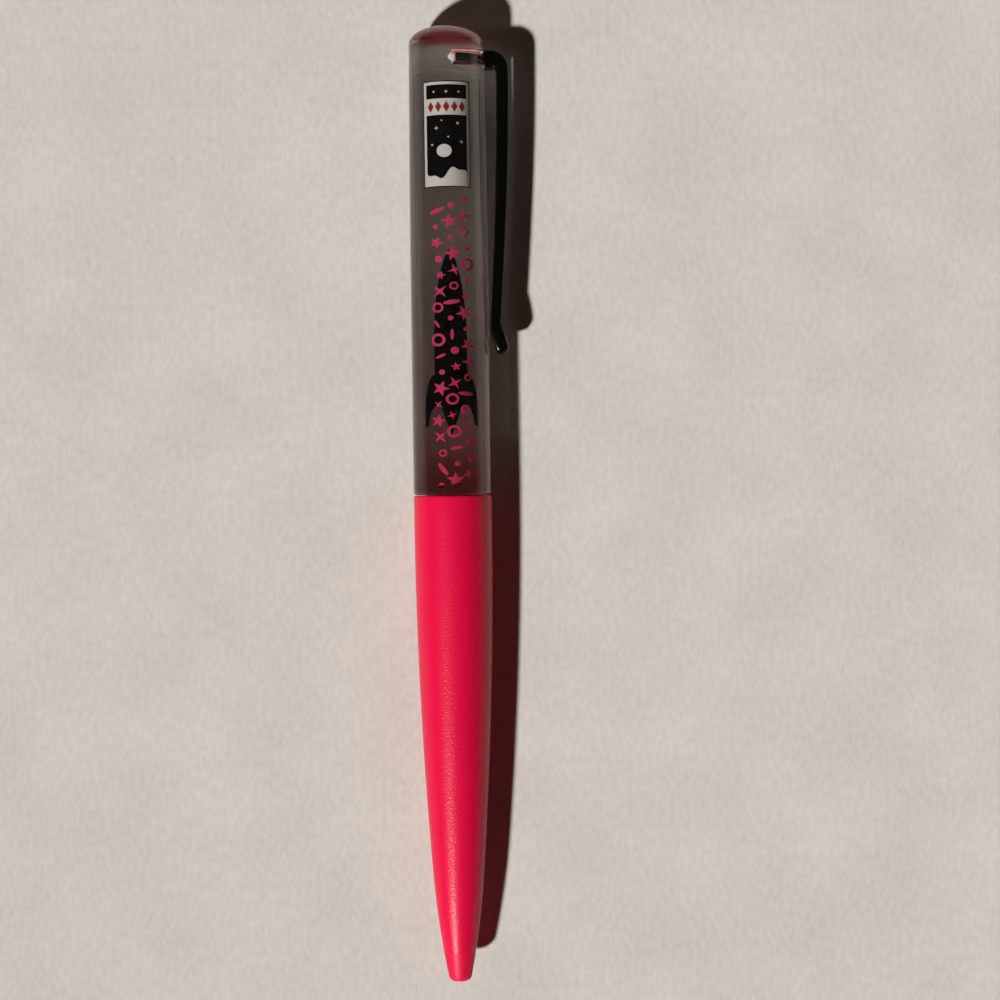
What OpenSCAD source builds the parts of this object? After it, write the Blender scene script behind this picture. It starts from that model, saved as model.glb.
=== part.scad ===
// Floating-picture pen: a clear oil-filled upper barrel, a twist-action lower barrel, a pocket clip and
// a ballpoint refill. Millimetres. The pen lies along Y on the plane z = 0, its nose towards -Y and its
// clip towards +X. Inside the modules z runs along the pen, from the joint between the barrels to the dome.

/* [Pen] */
// Diameter of both barrels at the joint between them
barrel_d = 11.5; // [10.5:0.1:13]
// Length of the clear barrel, from the joint to the top of the dome
upper_l = 68.8; // [60:0.1:80]
// Length of the lower barrel, from the joint to the end of the nose
lower_l = 71.4; // [66:0.1:80]
// Diameter of the nose where its rounded end starts
nose_d = 3.1; // [3:0.05:4.5]
// Gap that shows between the two barrels
joint_gap = 0.35; // [0.2:0.05:0.6]

/* [Upper barrel] */
// Height of the domed end
dome_h = 2.7; // [2:0.1:4]
// How much narrower the barrel is at the foot of the dome, in diameter
top_draft = 0.54; // [0:0.02:1]
// Height above the joint at which the barrel starts to narrow
draft_z = 25; // [10:1:35]
// Diameter of the oil chamber
chamber_d = 6.5; // [6.4:0.1:7.2]
// Solid end between the chamber and the top of the dome
crown_l = 6.6; // [6.4:0.1:9]

/* [Picture] */
// Thickness of the printed film
film_t = 0.12; // [0.08:0.01:0.2]
// Length of the framed panel
panel_l = 15.5; // [8:0.1:18]
// Width of the framed panel, across its chord
panel_w = 5.4; // [4:0.1:5.8]
// Length of the floating figure
figure_l = 27.5; // [15:0.5:30]
// Width of the floating figure
figure_w = 5.0; // [3:0.1:5.2]
// Thickness of the floating figure
figure_t = 0.3; // [0.2:0.05:0.5]
// Height above the joint at which the figure's tail rests
figure_z = 8.7; // [4:0.1:20]

/* [Clip] */
// Distance of the peg below the top of the dome
peg_drop = 4.7; // [4.5:0.1:6]
// Diameter of the peg
peg_d = 1.85; // [1.6:0.05:2]
// Diameter of the peg's socket in the clear barrel
socket_d = 2.2; // [2.1:0.05:2.4]
// Distance from the peg's axis down to the foot's lip
clip_l = 43.5; // [36:0.1:48]
// Gap between the barrel and the foot
clip_gap = 0.15; // [0.1:0.05:0.6]
// Width of the clip's arm
clip_w = 3.0; // [2:0.1:4]

/* [Twist action] */
// Turn of the lower barrel between point in and point out, in degrees
twist_angle = 130; // [90:1:135]
// Travel of the refill over that turn
stroke = 4.7; // [3:0.1:4.8]
// Distance of the ball's end inside the nose, with the point in
point_in = 1.15; // [0.8:0.05:1.6]
// Wire of the return spring
spring_wire = 0.5; // [0.3:0.05:0.6]
// Turns of the return spring
spring_turns = 9; // [6:1:11]

/* [Hidden] */
$fn = 96;
tiny = 0.01;
// How far a cutting shape runs past the face that it cuts
past = 1;
arc_steps = 6;
barrel_r = barrel_d/2;
axis_h = barrel_r;
upper_end = joint_gap/2;
lower_top = -joint_gap/2;

// Clear barrel
dome_r = (barrel_d - top_draft)/2;
dome_z = upper_l - dome_h;
dome_fullness = 2.2;
dome_steps = 18;
draft_sweep = pow(dome_z - draft_z, 2)/top_draft;
draft_steps = 8;
edge_r = 0.37;
chamber_r = chamber_d/2;
chamber_top = upper_l - crown_l;
chamber_round = 1.2;
chamber_steps = 12;
spigot_wall = 0.8;
spigot_r = chamber_r + spigot_wall;
spigot_end = -12.5;
bead_z = -7;
bead_w = 0.9;
bead_h = 0.24;
groove_w = 1.3;
groove_depth = 0.32;
socket_end = 0.55;
peg_z = upper_l - peg_drop;

// Plug and seal
plug_top = -1.5;
plug_fit = 0.03;
plug_r = chamber_r - plug_fit;
flange_l = 1.5;
flange_end = spigot_end - flange_l;
web_l = 2;
web_end = flange_end - web_l;
stem_r = 2.2;
stem_fit = 0.02;
stem_proud = 0.3;
ring_d = 0.9;
ring_z = -7;
ring_r = chamber_r - tiny - ring_d/2;
ring_groove_w = 1.2;
ring_groove_r = ring_r - ring_d/2 - tiny;

// Film and panel
film_fit = 0.02;
film_r = chamber_r - film_fit;
film_angle = 150;
film_top = chamber_top - chamber_round;
panel_r = film_r - film_t;
panel_t = 0.08;
panel_angle = 2*asin(panel_w/2/panel_r);
panel_z = film_top - panel_l;

// Floating figure: heights above its tail and half widths
figure_drop = 0.75;
hull_r = 1.55;
hull_top = 14;
hull_low = 9;
hull_steps = 8;
ogive_power = 0.7;
fin_r = figure_w/2;
fin_low = 3.6;
fin_foot = 1.3;
fin_tip_w = 0.3;
arch_r = 1.2;
arch_top = 4.5;
arch_low = 1.6;
flame_r = 1;
flame_neck_r = 0.6;
flame_neck = 2.6;

// Lower barrel: a short land, one long sweep and a tighter sweep over the nose
land_l = 3;
nose_l = 15.4;
nose_sweep_r = 140;
nose_round = 0.9;
nose_drop = pow(nose_l, 2)/(2*nose_sweep_r);
sweep_r = pow(lower_l - land_l, 2)/(barrel_d - nose_d - 2*nose_drop);
sweep_steps = 24;
nose_slope = atan((lower_l - nose_round - land_l)/sweep_r + (nose_l - nose_round)/nose_sweep_r);
nose_x = lower_l - nose_round*(1 - sin(nose_slope));
nose_hole_d = 2;
nose_hole_l = 8;
top_round = 0.3;
swivel_gap = 0.08;
bush_wall = 0.6;
bush_r = spigot_r + bush_wall;
bush_top = -1;
bush_end = spigot_end + 0.5;
cam_room_r = spigot_r + bush_wall/2;
cam_room_end = -24;
guide_step = 0.6;
guide_r = chamber_r + guide_step;
guide_end = -35;
follower_room_r = 3.05;
follower_room_end = -51;
refill_room_r = 1.75;
refill_room_end = nose_hole_l - lower_l;

// Cam, follower and guide. The ramps are helices of one slope, so the refill moves evenly with the turn.
cam_gap = 0.15;
cam_r = cam_room_r - cam_gap;
cam_bore_r = 2.95;
slope = stroke/twist_angle;
rib_w = 1.6;
rib_l = 11.4;
rib_r = guide_r - cam_gap;
rib_root = 0.4;
rib_start = 17.5;
rib_spare = 1;
ramp_angle = twist_angle + 2*rib_start + rib_spare;
ramp_drop = 1;
ramp_z = web_end - ramp_drop;
ramp_steps = 20;
stop_h = 1.4;
cam_end = ramp_z - slope*(ramp_angle - rib_start) - stop_h;
ramp_pitch = atan(slope*180/PI/cam_bore_r);
rib_clear = 0.05;
rib_top = ramp_z - rib_w/2*(1/cos(ramp_pitch) - 1) - rib_clear;
rib_end = rib_top - rib_l;
follower_r = 2.8;
follower_gap = 0.8;
follower_top = web_end - follower_gap;
follower_end = -37;
guide_gap = 0.1;
guide_bore_r = follower_r + guide_gap;
guide_top = cam_room_end;
slot_w = rib_w + 2*guide_gap;
slot_spare = 0.4;
slot_end = rib_end - stroke - slot_spare;

// Refill
refill_r = 1.5;
refill_bore_r = 1;
refill_top = -20;
refill_fit = 0.02;
ink_r = refill_bore_r - refill_fit;
ink_top = -24;
grease_l = 1.5;
ball_r = 0.5;
ball_gap = 0.03;
ball_proud = 0.3;
ball_z = -lower_l + point_in + ball_r;
lip_z = ball_z - ball_r + ball_proud;
lip_r = 0.58;
point_r = 0.85;
cone_l = 1.65;
collar_l = 3.6;
collar_chamfer = 0.4;
collar_stop_gap = 0.1;
collar_end = refill_room_end + stroke + collar_stop_gap;
refill_end = collar_end + collar_l;
point_stem_l = 3;
point_top = refill_end + point_stem_l;

// Spring
spring_r = 2.35;
spring_sides = 8;
spring_steps = 14;
spring_seat_gap = 0.02;
spring_top = follower_end - spring_seat_gap - spring_wire/2;
spring_low = follower_room_end + spring_seat_gap + spring_wire/2;

// Clip: one rounded oblong section, carried along a neck, an elbow, a bowed arm and a flared foot
neck_t = 2.75;
neck_gap = 0.12;
elbow_r = 1.7;
arm_t = 1.78;
arm_off = 2.45;
arm_x = barrel_r + arm_off;
arm_steps = 14;
foot_l = 4.5;
foot_t = 1.5;
foot_rise = 1.18;
foot_curl = 1.1;
foot_steps = 6;
lip_swell = 0.5;
lip_round = 0.8;
contact_x = barrel_r + clip_gap + foot_t/2;
contact_z = peg_z - clip_l + foot_l;
peg_end_gap = 0.4;
peg_start = socket_end + peg_end_gap;
clip_sides = 20;
clip_squareness = 0.62;

// Colours
clear_c = [0.86, 0.88, 0.86, 0.35];
pink_c = [0.86, 0.06, 0.25];
black_c = [0.05, 0.05, 0.05];
white_c = [0.92, 0.92, 0.9];
brass_c = [0.78, 0.62, 0.3];
steel_c = [0.72, 0.73, 0.75];
film_c = [0.85, 0.45, 0.58, 0.4];
ink_c = [0.07, 0.07, 0.1];
grease_c = [0.85, 0.82, 0.7];

// Places a shape drawn along z on the pen's axis
module on_axis() {
  translate([0, 0, axis_h]) rotate([-90, 0, 0]) children();
}

// A cylinder from one height to a lower one
module rod(r, top, low) {
  translate([0, 0, low]) cylinder(r = r, h = top - low);
}

// A curved strip centred on the upper side of the chamber
module strip(r, t, angle, low, length) {
  rotate([0, 0, -90 - angle/2]) rotate_extrude(angle = angle)
    translate([r - t, low]) square([t, length]);
}

// Points of an arc, from angle a to angle b
function arc(c, r, a, b, n = arc_steps) =
  [for (i = [0 : n]) let (q = a + (b - a)*i/n) c + r*[cos(q), sin(q)]];

// A point of the dome, at angle a above its foot
function dome_point(a) =
  [dome_r*pow(cos(a), 2/dome_fullness), dome_z + dome_h*pow(sin(a), 2/dome_fullness)];

// Radius of the clear barrel at height z
function upper_r(z) = barrel_r - pow(max(0, z - draft_z), 2)/(2*draft_sweep);

// Radius of the lower barrel at distance x from the joint
function lower_r(x) = barrel_r - tiny - pow(max(0, x - land_l), 2)/(2*sweep_r)
  - pow(max(0, x - lower_l + nose_l), 2)/(2*nose_sweep_r);

// Places along the clip are [distance from the axis, height, thickness, share of the full width].
// The elbow at angle a of its turn, with the neck's thickness going over into the arm's
function elbow_place(a) = [arm_x - elbow_r*(1 - sin(a)), peg_z - elbow_r*(1 - cos(a)),
  neck_t + (arm_t - neck_t)*a/90, 1];

// The arm at share t of its way from the elbow to the contact, in a bow that is straight at its top
function arm_place(t) = [contact_x + (arm_x - contact_x)*cos(90*t),
  peg_z - elbow_r + (contact_z - peg_z + elbow_r)*t, arm_t + (foot_t - arm_t)*t*t, 1];

// The foot at distance d below the contact, swollen in its middle, with that share of its section left
function foot_place(d, share) = [contact_x + foot_rise*pow(d/foot_l, foot_curl), contact_z - d,
  share*(foot_t + lip_swell*sin(160*d/foot_l)), share];

// A rounded oblong with its thickness along x and its width along y
function oblong(t, w, n) = [for (i = [0 : n - 1]) let (c = cos(360*i/n), s = sin(360*i/n))
  [t/2*sign(c)*pow(abs(c), clip_squareness), w/2*sign(s)*pow(abs(s), clip_squareness)]];

// Skins a list of rings of points with triangles
module skin(rings) {
  n = len(rings[0]);
  m = len(rings);
  points = [for (ring = rings) each ring];
  sides = [for (j = [0 : m - 2]) for (i = [0 : n - 1]) let (k = (i + 1) % n)
    each [[j*n + i, j*n + k, (j + 1)*n + k], [j*n + i, (j + 1)*n + k, (j + 1)*n + i]]];
  ends = [[for (i = [n - 1 : -1 : 0]) i], [for (i = [0 : n - 1]) (m - 1)*n + i]];
  polyhedron(points, concat(sides, ends), convexity = 10);
}

module clear_barrel() {
  dome = [for (i = [0 : dome_steps]) dome_point(90 - 90*i/dome_steps)];
  side = [for (i = [1 : draft_steps]) let (z = dome_z + (draft_z - dome_z)*i/draft_steps) [upper_r(z), z]];
  edge = arc([barrel_r - edge_r, upper_end + edge_r], edge_r, 0, -90);
  spigot = [[spigot_r, upper_end], [spigot_r, spigot_end], [0, spigot_end]];
  mouth = [[0, spigot_end - past], [chamber_r, spigot_end - past]];
  chamber_end = [for (i = [0 : chamber_steps]) let (a = 90*i/chamber_steps)
    [chamber_r*cos(a), chamber_top + chamber_round*(sin(a) - 1)]];
  color(clear_c) on_axis() difference() {
    rotate_extrude() polygon(concat(dome, side, edge, spigot));
    rotate_extrude() polygon(concat(mouth, chamber_end));
    rotate_extrude() translate([spigot_r - groove_depth, bead_z - groove_w/2]) square([past, groove_w]);
    translate([socket_end, 0, peg_z]) rotate([0, 90, 0]) cylinder(d = socket_d, h = barrel_d);
  }
}

// The clip's sections stand square to the line through their neighbours' places
module clip() {
  neck = [[dome_r + neck_gap, peg_z, neck_t, 1]];
  elbow = [for (i = [0 : arc_steps]) elbow_place(90*i/arc_steps)];
  arm = [for (i = [1 : arm_steps]) arm_place(i/arm_steps)];
  foot = [for (i = [1 : foot_steps]) foot_place((foot_l - lip_round)*i/foot_steps, 1)];
  lip = [for (a = [15 : 15 : 75]) foot_place(foot_l - lip_round*(1 - sin(a)), cos(a))];
  line = concat(neck, elbow, arm, foot, lip);
  end = len(line) - 1;
  rings = [for (i = [0 : end])
    let (p = line[i], d = line[min(i + 1, end)] - line[max(i - 1, 0)], a = atan2(d[1], d[0]))
    [for (q = oblong(p[2], clip_w*p[3], clip_sides)) [p[0] - q[0]*sin(a), q[1], p[1] + q[0]*cos(a)]]];
  color(black_c) on_axis() union() {
    skin(rings);
    translate([peg_start, 0, peg_z]) rotate([0, 90, 0])
      cylinder(d = peg_d, h = arm_x - elbow_r - peg_start);
  }
}

module picture_film() {
  color(film_c) on_axis() strip(film_r, film_t, film_angle, plug_top, film_top - plug_top);
}

module picture_panel() {
  color(white_c) on_axis() strip(panel_r, panel_t, panel_angle, panel_z, panel_l);
}

// A rocket in outline: ogive nose, straight hull, swept fins with an arch under each, and a flame
module floater() {
  cone_h = figure_l - hull_top;
  cone = [for (i = [0 : hull_steps]) let (t = 1 - i/hull_steps)
    [hull_r*pow(1 - t*t, ogive_power), hull_top + cone_h*t]];
  fin = [for (i = [0 : arc_steps]) let (a = 90*i/arc_steps)
    [hull_r + (fin_r - hull_r)*sin(a), hull_low - (hull_low - fin_low)*(1 - cos(a))]];
  foot = [[fin_r, fin_foot]];
  arch = [for (i = [0 : arc_steps]) let (a = 90*i/arc_steps)
    [arch_r + (fin_r - fin_tip_w - arch_r)*cos(a), arch_low + (arch_top - arch_low)*sin(a)]];
  flame = [[flame_r, arch_top], [flame_neck_r, flame_neck], [0, 0]];
  half = concat(cone, fin, foot, arch, flame);
  other = [for (i = [len(half) - 2 : -1 : 1]) [-half[i][0], half[i][1]]];
  color(black_c) on_axis() translate([0, figure_drop + figure_t/2, figure_z]) rotate([90, 0, 0])
    linear_extrude(figure_t) polygon(concat(half, other));
}

module chamber_plug() {
  color(pink_c) on_axis() difference() {
    union() {
      rod(plug_r, plug_top, spigot_end);
      rod(spigot_r, spigot_end, flange_end);
      rod(stem_r, flange_end, web_end - stem_proud);
    }
    rotate_extrude() translate([ring_groove_r, ring_z - ring_groove_w/2])
      square([ring_d + past, ring_groove_w]);
  }
}

module plug_ring() {
  color(black_c) on_axis() translate([0, 0, ring_z]) rotate_extrude()
    translate([ring_r, 0]) circle(d = ring_d, $fn = 32);
}

// The room that one ramp leaves for a rib, as rings of a square section at even turns
module ramp_room() {
  inner = cam_bore_r - past;
  outer = cam_r + past;
  low = cam_end - past;
  skin([for (i = [0 : ramp_steps]) let (a = ramp_angle*i/ramp_steps, z = ramp_z - slope*(a - rib_start))
    [for (p = [[inner, z], [inner, low], [outer, low], [outer, z]]) [p[0]*cos(a), p[0]*sin(a), p[1]]]]);
}

module twist_cam() {
  color(white_c) on_axis() difference() {
    rod(cam_r, flange_end, cam_end);
    rod(stem_r + stem_fit, flange_end + past, web_end - past);
    rod(cam_bore_r, web_end, cam_end - past);
    for (turn = [0, 180]) rotate([0, 0, turn - rib_start]) ramp_room();
  }
}

module lower_barrel() {
  top = arc([barrel_r - tiny - top_round, lower_top - top_round], top_round, 90, 0);
  side = [for (i = [0 : sweep_steps]) let (x = land_l + (nose_x - land_l)*i/sweep_steps) [lower_r(x), -x]];
  lip_c = [lower_r(nose_x) - nose_round*cos(nose_slope), -lower_l + nose_round];
  lip = arc(lip_c, nose_round, -nose_slope, -90);
  color(pink_c) on_axis() difference() {
    rotate_extrude() polygon(concat([[0, lower_top]], top, side, lip, [[0, -lower_l]]));
    rod(bush_r, past, bush_end);
    rod(cam_room_r, past, cam_room_end);
    rod(guide_r, past, guide_end);
    rod(follower_room_r, past, follower_room_end);
    rod(refill_room_r, past, refill_room_end);
    rod(nose_hole_d/2, past, -lower_l - past);
  }
}

module swivel_bush() {
  color(pink_c) on_axis() difference() {
    rod(bush_r - tiny, bush_top, bush_end);
    rod(spigot_r + swivel_gap, bush_top + past, bead_z + bead_w/2);
    rod(spigot_r + swivel_gap, bead_z - bead_w/2, bush_end - past);
    rod(spigot_r - bead_h, bush_top + past, bush_end - past);
  }
}

module guide_sleeve() {
  color(white_c) on_axis() difference() {
    rod(guide_r - tiny, guide_top, guide_end);
    rod(guide_bore_r, guide_top + past, guide_end - past);
    translate([-guide_r - past, -slot_w/2, slot_end])
      cube([2*(guide_r + past), slot_w, guide_top - slot_end + past]);
  }
}

module return_spring() {
  steps = spring_turns*spring_steps;
  rings = [for (i = [0 : steps])
    let (a = 360*i/spring_steps, z = spring_low + (spring_top - spring_low)*i/steps)
    [for (j = [0 : spring_sides - 1]) let (b = 360*j/spring_sides, r = spring_r + spring_wire/2*cos(b))
      [r*cos(a), r*sin(a), z - spring_wire/2*sin(b)]]];
  color(steel_c) on_axis() skin(rings);
}

// A rib that rides a ramp with its round top and slides in a slot of the guide
module rib() {
  length = rib_r - follower_r + rib_root;
  translate([follower_r - rib_root, 0, 0]) {
    translate([0, -rib_w/2, rib_end]) cube([length, rib_w, rib_top - rib_w/2 - rib_end]);
    translate([0, 0, rib_top - rib_w/2]) rotate([0, 90, 0]) cylinder(d = rib_w, h = length, $fn = 48);
  }
}

module cam_follower() {
  color(white_c) on_axis() difference() {
    union() {
      rod(follower_r, follower_top, follower_end);
      for (turn = [0, 180]) rotate([0, 0, turn]) rib();
    }
    rod(refill_r + refill_fit, refill_top, follower_end - past);
  }
}

module refill_tube() {
  color(white_c) on_axis() difference() {
    rod(refill_r, refill_top, refill_end);
    rod(refill_bore_r, refill_top + past, refill_end - past);
  }
}

module ink_column() {
  color(ink_c) on_axis() rod(ink_r, ink_top, point_top);
}

module grease_plug() {
  color(grease_c) on_axis() rod(ink_r, ink_top + grease_l, ink_top);
}

module refill_point() {
  stem = [[0, point_top], [ink_r, point_top], [ink_r, refill_end]];
  collar = [[refill_r, refill_end], [refill_r, collar_end + collar_chamfer],
    [refill_r - collar_chamfer, collar_end]];
  tip = [[point_r, collar_end], [point_r, lip_z + cone_l], [lip_r, lip_z], [0, lip_z]];
  color(brass_c) on_axis() difference() {
    rotate_extrude() polygon(concat(stem, collar, tip));
    translate([0, 0, ball_z]) sphere(r = ball_r + ball_gap, $fn = 48);
  }
}

module point_ball() {
  color(steel_c) on_axis() translate([0, 0, ball_z]) sphere(r = ball_r, $fn = 48);
}

clear_barrel();
clip();
picture_film();
picture_panel();
floater();
chamber_plug();
plug_ring();
twist_cam();
lower_barrel();
swivel_bush();
guide_sleeve();
return_spring();
cam_follower();
refill_tube();
ink_column();
grease_plug();
refill_point();
point_ball();
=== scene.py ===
"""Looks of a floating-picture pen that lies on a sheet of paper.

Each sub-assembly of the pen is a class. Its sizes are fields, and its methods work out the surfaces and put
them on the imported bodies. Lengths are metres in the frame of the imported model: +Y runs along the pen towards
the dome, +X towards the clip and +Z up from the paper. "Turn angle" is the angle about the pen's axis, from
straight up to +X.
"""

import logging
import math
from dataclasses import dataclass
from enum import Enum, IntEnum

import bmesh
import bpy
import numpy as np
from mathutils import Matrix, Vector


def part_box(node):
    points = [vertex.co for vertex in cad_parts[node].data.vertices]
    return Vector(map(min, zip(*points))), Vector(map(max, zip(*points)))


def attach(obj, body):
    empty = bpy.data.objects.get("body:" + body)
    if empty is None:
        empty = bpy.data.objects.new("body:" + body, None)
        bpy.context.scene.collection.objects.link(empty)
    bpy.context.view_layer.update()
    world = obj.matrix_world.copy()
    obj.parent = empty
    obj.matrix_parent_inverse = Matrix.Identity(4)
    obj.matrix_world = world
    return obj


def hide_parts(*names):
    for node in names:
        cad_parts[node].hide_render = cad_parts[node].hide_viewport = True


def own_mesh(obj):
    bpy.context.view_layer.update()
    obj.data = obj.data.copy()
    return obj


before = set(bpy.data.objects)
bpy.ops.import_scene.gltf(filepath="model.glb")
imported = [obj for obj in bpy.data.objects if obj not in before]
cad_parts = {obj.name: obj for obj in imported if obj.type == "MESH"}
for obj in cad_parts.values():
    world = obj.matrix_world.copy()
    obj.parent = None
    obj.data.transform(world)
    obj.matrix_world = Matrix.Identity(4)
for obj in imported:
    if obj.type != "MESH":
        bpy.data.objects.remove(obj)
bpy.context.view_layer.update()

MM = 0.001
TURN = 2.0 * math.pi
WELD = 1e-7
SHARP_ANGLE = math.radians(38.0)
CLIP_DROP = 4.7 * MM
PLASTIC_IOR = 1.49
OIL_IOR = 1.465
FILM_IOR = 1.5

Points = np.ndarray
Faces = np.ndarray
Mesh = tuple[Points, Faces]
Pair = tuple[float, float]
Triple = tuple[float, float, float]
Colour = Triple
Piece = bpy.types.Object
Socket = bpy.types.NodeSocket

PINK: Colour = (0.78, 0.004, 0.06)
NOISE_SPAN: Pair = (0.3, 0.7)

log = logging.getLogger("pen")


class Body(Enum):
    """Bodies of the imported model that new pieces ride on."""

    UPPER = "upper"
    CLIP = "clip"
    LOWER = "lower"
    REFILL = "refill"
    BALL = "ball"


class Motif(Enum):
    """Printed shapes on the film and the panel."""

    STAR = "stars"
    RING = "rings"
    DOT = "dots"
    SPARK = "sparks"
    DASH = "dashes"


class Layer(IntEnum):
    """Printed layers, counted inwards from the film."""

    TOP = 0
    NIGHT = 1
    SKY = 2
    FRAME = 3
    CARD = 4


@dataclass(frozen=True)
class MotifShape:
    """Form of a printed shape: its half width on the film, and shares of that.

    A star has tips, with a waist between them. A round shape has a width and a length, and may have a hole.
    """

    half: float
    tips: int = 0
    waist: float = 0.0
    size: Pair = (1.0, 1.0)
    hole: float = 0.0


MOTIFS = {
    Motif.STAR: MotifShape(1.2 * MM, tips=5, waist=0.42),
    Motif.RING: MotifShape(0.95 * MM, hole=0.6),
    Motif.DOT: MotifShape(0.9 * MM, size=(0.6, 0.6)),
    Motif.SPARK: MotifShape(1.2 * MM, tips=4, waist=0.28),
    Motif.DASH: MotifShape(1.1 * MM, size=(0.28, 1.0)),
}


# Surfaces


def turned(profile: Points, axis_h: float, segments: int) -> Points:
    """Turns a profile about the pen's axis.

    A profile point (r, y) at turn angle a goes to x = r sin a, y = y, z = axis height + r cos a.

    Args:
        profile: Rows of (radius, distance along the pen).
        axis_h: Height of the pen's axis.
        segments: Number of steps in the full turn.

    Returns:
        A grid of points, one row per profile point and one column per step.
    """
    angle = np.linspace(0.0, TURN, segments, endpoint=False)
    radius, along = profile[:, :1], profile[:, 1:]
    return beside(radius * np.sin(angle), along, axis_h + radius * np.cos(angle))


def cells(rows: int, columns: int, wrap: bool) -> Faces:
    """Gives the corner numbers of a grid's cells, with points counted row by row.

    Args:
        rows: Number of rows of points.
        columns: Number of columns of points.
        wrap: Whether the last column joins the first.

    Returns:
        An array of four corner numbers per cell.
    """
    index = np.arange(rows * columns).reshape(rows, columns)
    if wrap:
        index = np.concatenate([index, index[:, :1]], axis=1)
    corners = [index[:-1, :-1], index[1:, :-1], index[1:, 1:], index[:-1, 1:]]
    return np.stack(corners, axis=-1).reshape(-1, 4)


def band(first: Faces, second: Faces) -> Faces:
    """Joins two closed loops of point numbers, of one length, with a band of four-cornered faces."""
    return np.stack([first, np.roll(first, -1), np.roll(second, -1), second], axis=-1)


def slab(front: Points, back: Points, wrap: bool, hole: bool) -> Mesh:
    """Closes the space between two like grids of points: both grids, and walls round their edges.

    Args:
        front: Grid of points of one side.
        back: Grid of points of the other side.
        wrap: Whether the columns close into rings, so that only the last row is an edge.
        hole: Whether the first row of a wrapped grid is an edge too.

    Returns:
        The points, and the corner numbers of the faces.
    """
    rows, columns = front.shape[:2]
    count = rows * columns
    index = np.arange(count).reshape(rows, columns)
    if wrap:
        loops = [index[-1], index[0]] if hole else [index[-1]]
    else:
        loops = [np.concatenate([index[0], index[1:, -1], index[-1, -2::-1], index[-2:0:-1, 0]])]
    faces = cells(rows, columns, wrap)
    walls = [band(loop, loop + count) for loop in loops]
    points = np.concatenate([front.reshape(-1, 3), back.reshape(-1, 3)])
    return points, np.concatenate([faces, faces + count, *walls])


def joined(parts: list[Mesh]) -> Mesh:
    """Puts several sets of points and faces into one set.

    Args:
        parts: The sets.

    Returns:
        All the points, and all the faces with their corner numbers moved on to match.
    """
    starts = np.cumsum([0] + [len(points) for points, _ in parts[:-1]])
    faces = [part[1] + start for part, start in zip(parts, starts)]
    return np.concatenate([part[0] for part in parts]), np.concatenate(faces)


def beside(*columns: Points | float) -> Points:
    """Sets columns of numbers side by side as rows; a single number stands for a whole column."""
    return np.stack(np.broadcast_arrays(*columns), axis=-1)


def flat_grid(low: Pair, high: Pair, columns: int, rows: int) -> Points:
    """Gives an even grid of flat places over a rectangle, from its lowest to its highest corner."""
    across, along = np.linspace(low[0], high[0], columns), np.linspace(low[1], high[1], rows)
    return np.stack(np.meshgrid(across, along), axis=-1)


def quarter(steps: int) -> Points:
    """Gives the angles of a quarter turn, in even steps."""
    return np.linspace(0.0, TURN / 4.0, steps + 1)


def circle(count: int) -> Points:
    """Gives evenly spaced points (sin a, cos a) of a circle of radius 1."""
    angle = np.linspace(0.0, TURN, count, endpoint=False)
    return beside(np.sin(angle), np.cos(angle))


def polygon(corners: Points, count: int) -> Points:
    """Gives points along the straight sides of a polygon, as many on each side.

    Args:
        corners: Its corners in turn.
        count: Number of points, a multiple of the number of corners.

    Returns:
        Rows of two coordinates.
    """
    closed = np.concatenate([corners, corners[:1]])
    numbers = np.arange(len(closed))
    place = np.linspace(0.0, len(corners), count, endpoint=False)
    return beside(np.interp(place, numbers, closed[:, 0]), np.interp(place, numbers, closed[:, 1]))


def ellipse_arc(centre: Pair, size: Pair | float, turn: Pair, steps: int) -> Points:
    """Gives points of an arc, centre + (a cos t, b sin t).

    Args:
        centre: Middle of the ellipse.
        size: Half axes a and b, or the radius of a circle.
        turn: First and last angle t in degrees.
        steps: Number of steps.

    Returns:
        Rows of two coordinates.
    """
    t = np.radians(np.linspace(*turn, steps + 1))
    half_a, half_b = np.broadcast_to(size, 2)
    return beside(centre[0] + half_a * np.cos(t), centre[1] + half_b * np.sin(t))


def chained(*parts: Points) -> Points:
    """Joins stretches of a profile and drops points that repeat the one before.

    Args:
        *parts: The stretches in turn.

    Returns:
        The whole profile.
    """
    line = np.concatenate(parts)
    apart = np.linalg.norm(np.diff(line, axis=0), axis=1) > WELD
    return line[np.concatenate([[True], apart])]


# Finishes


def shade(colour: Colour, factor: float) -> Colour:
    """Makes a colour lighter or darker by a factor."""
    return tuple(channel * factor for channel in colour)


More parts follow.
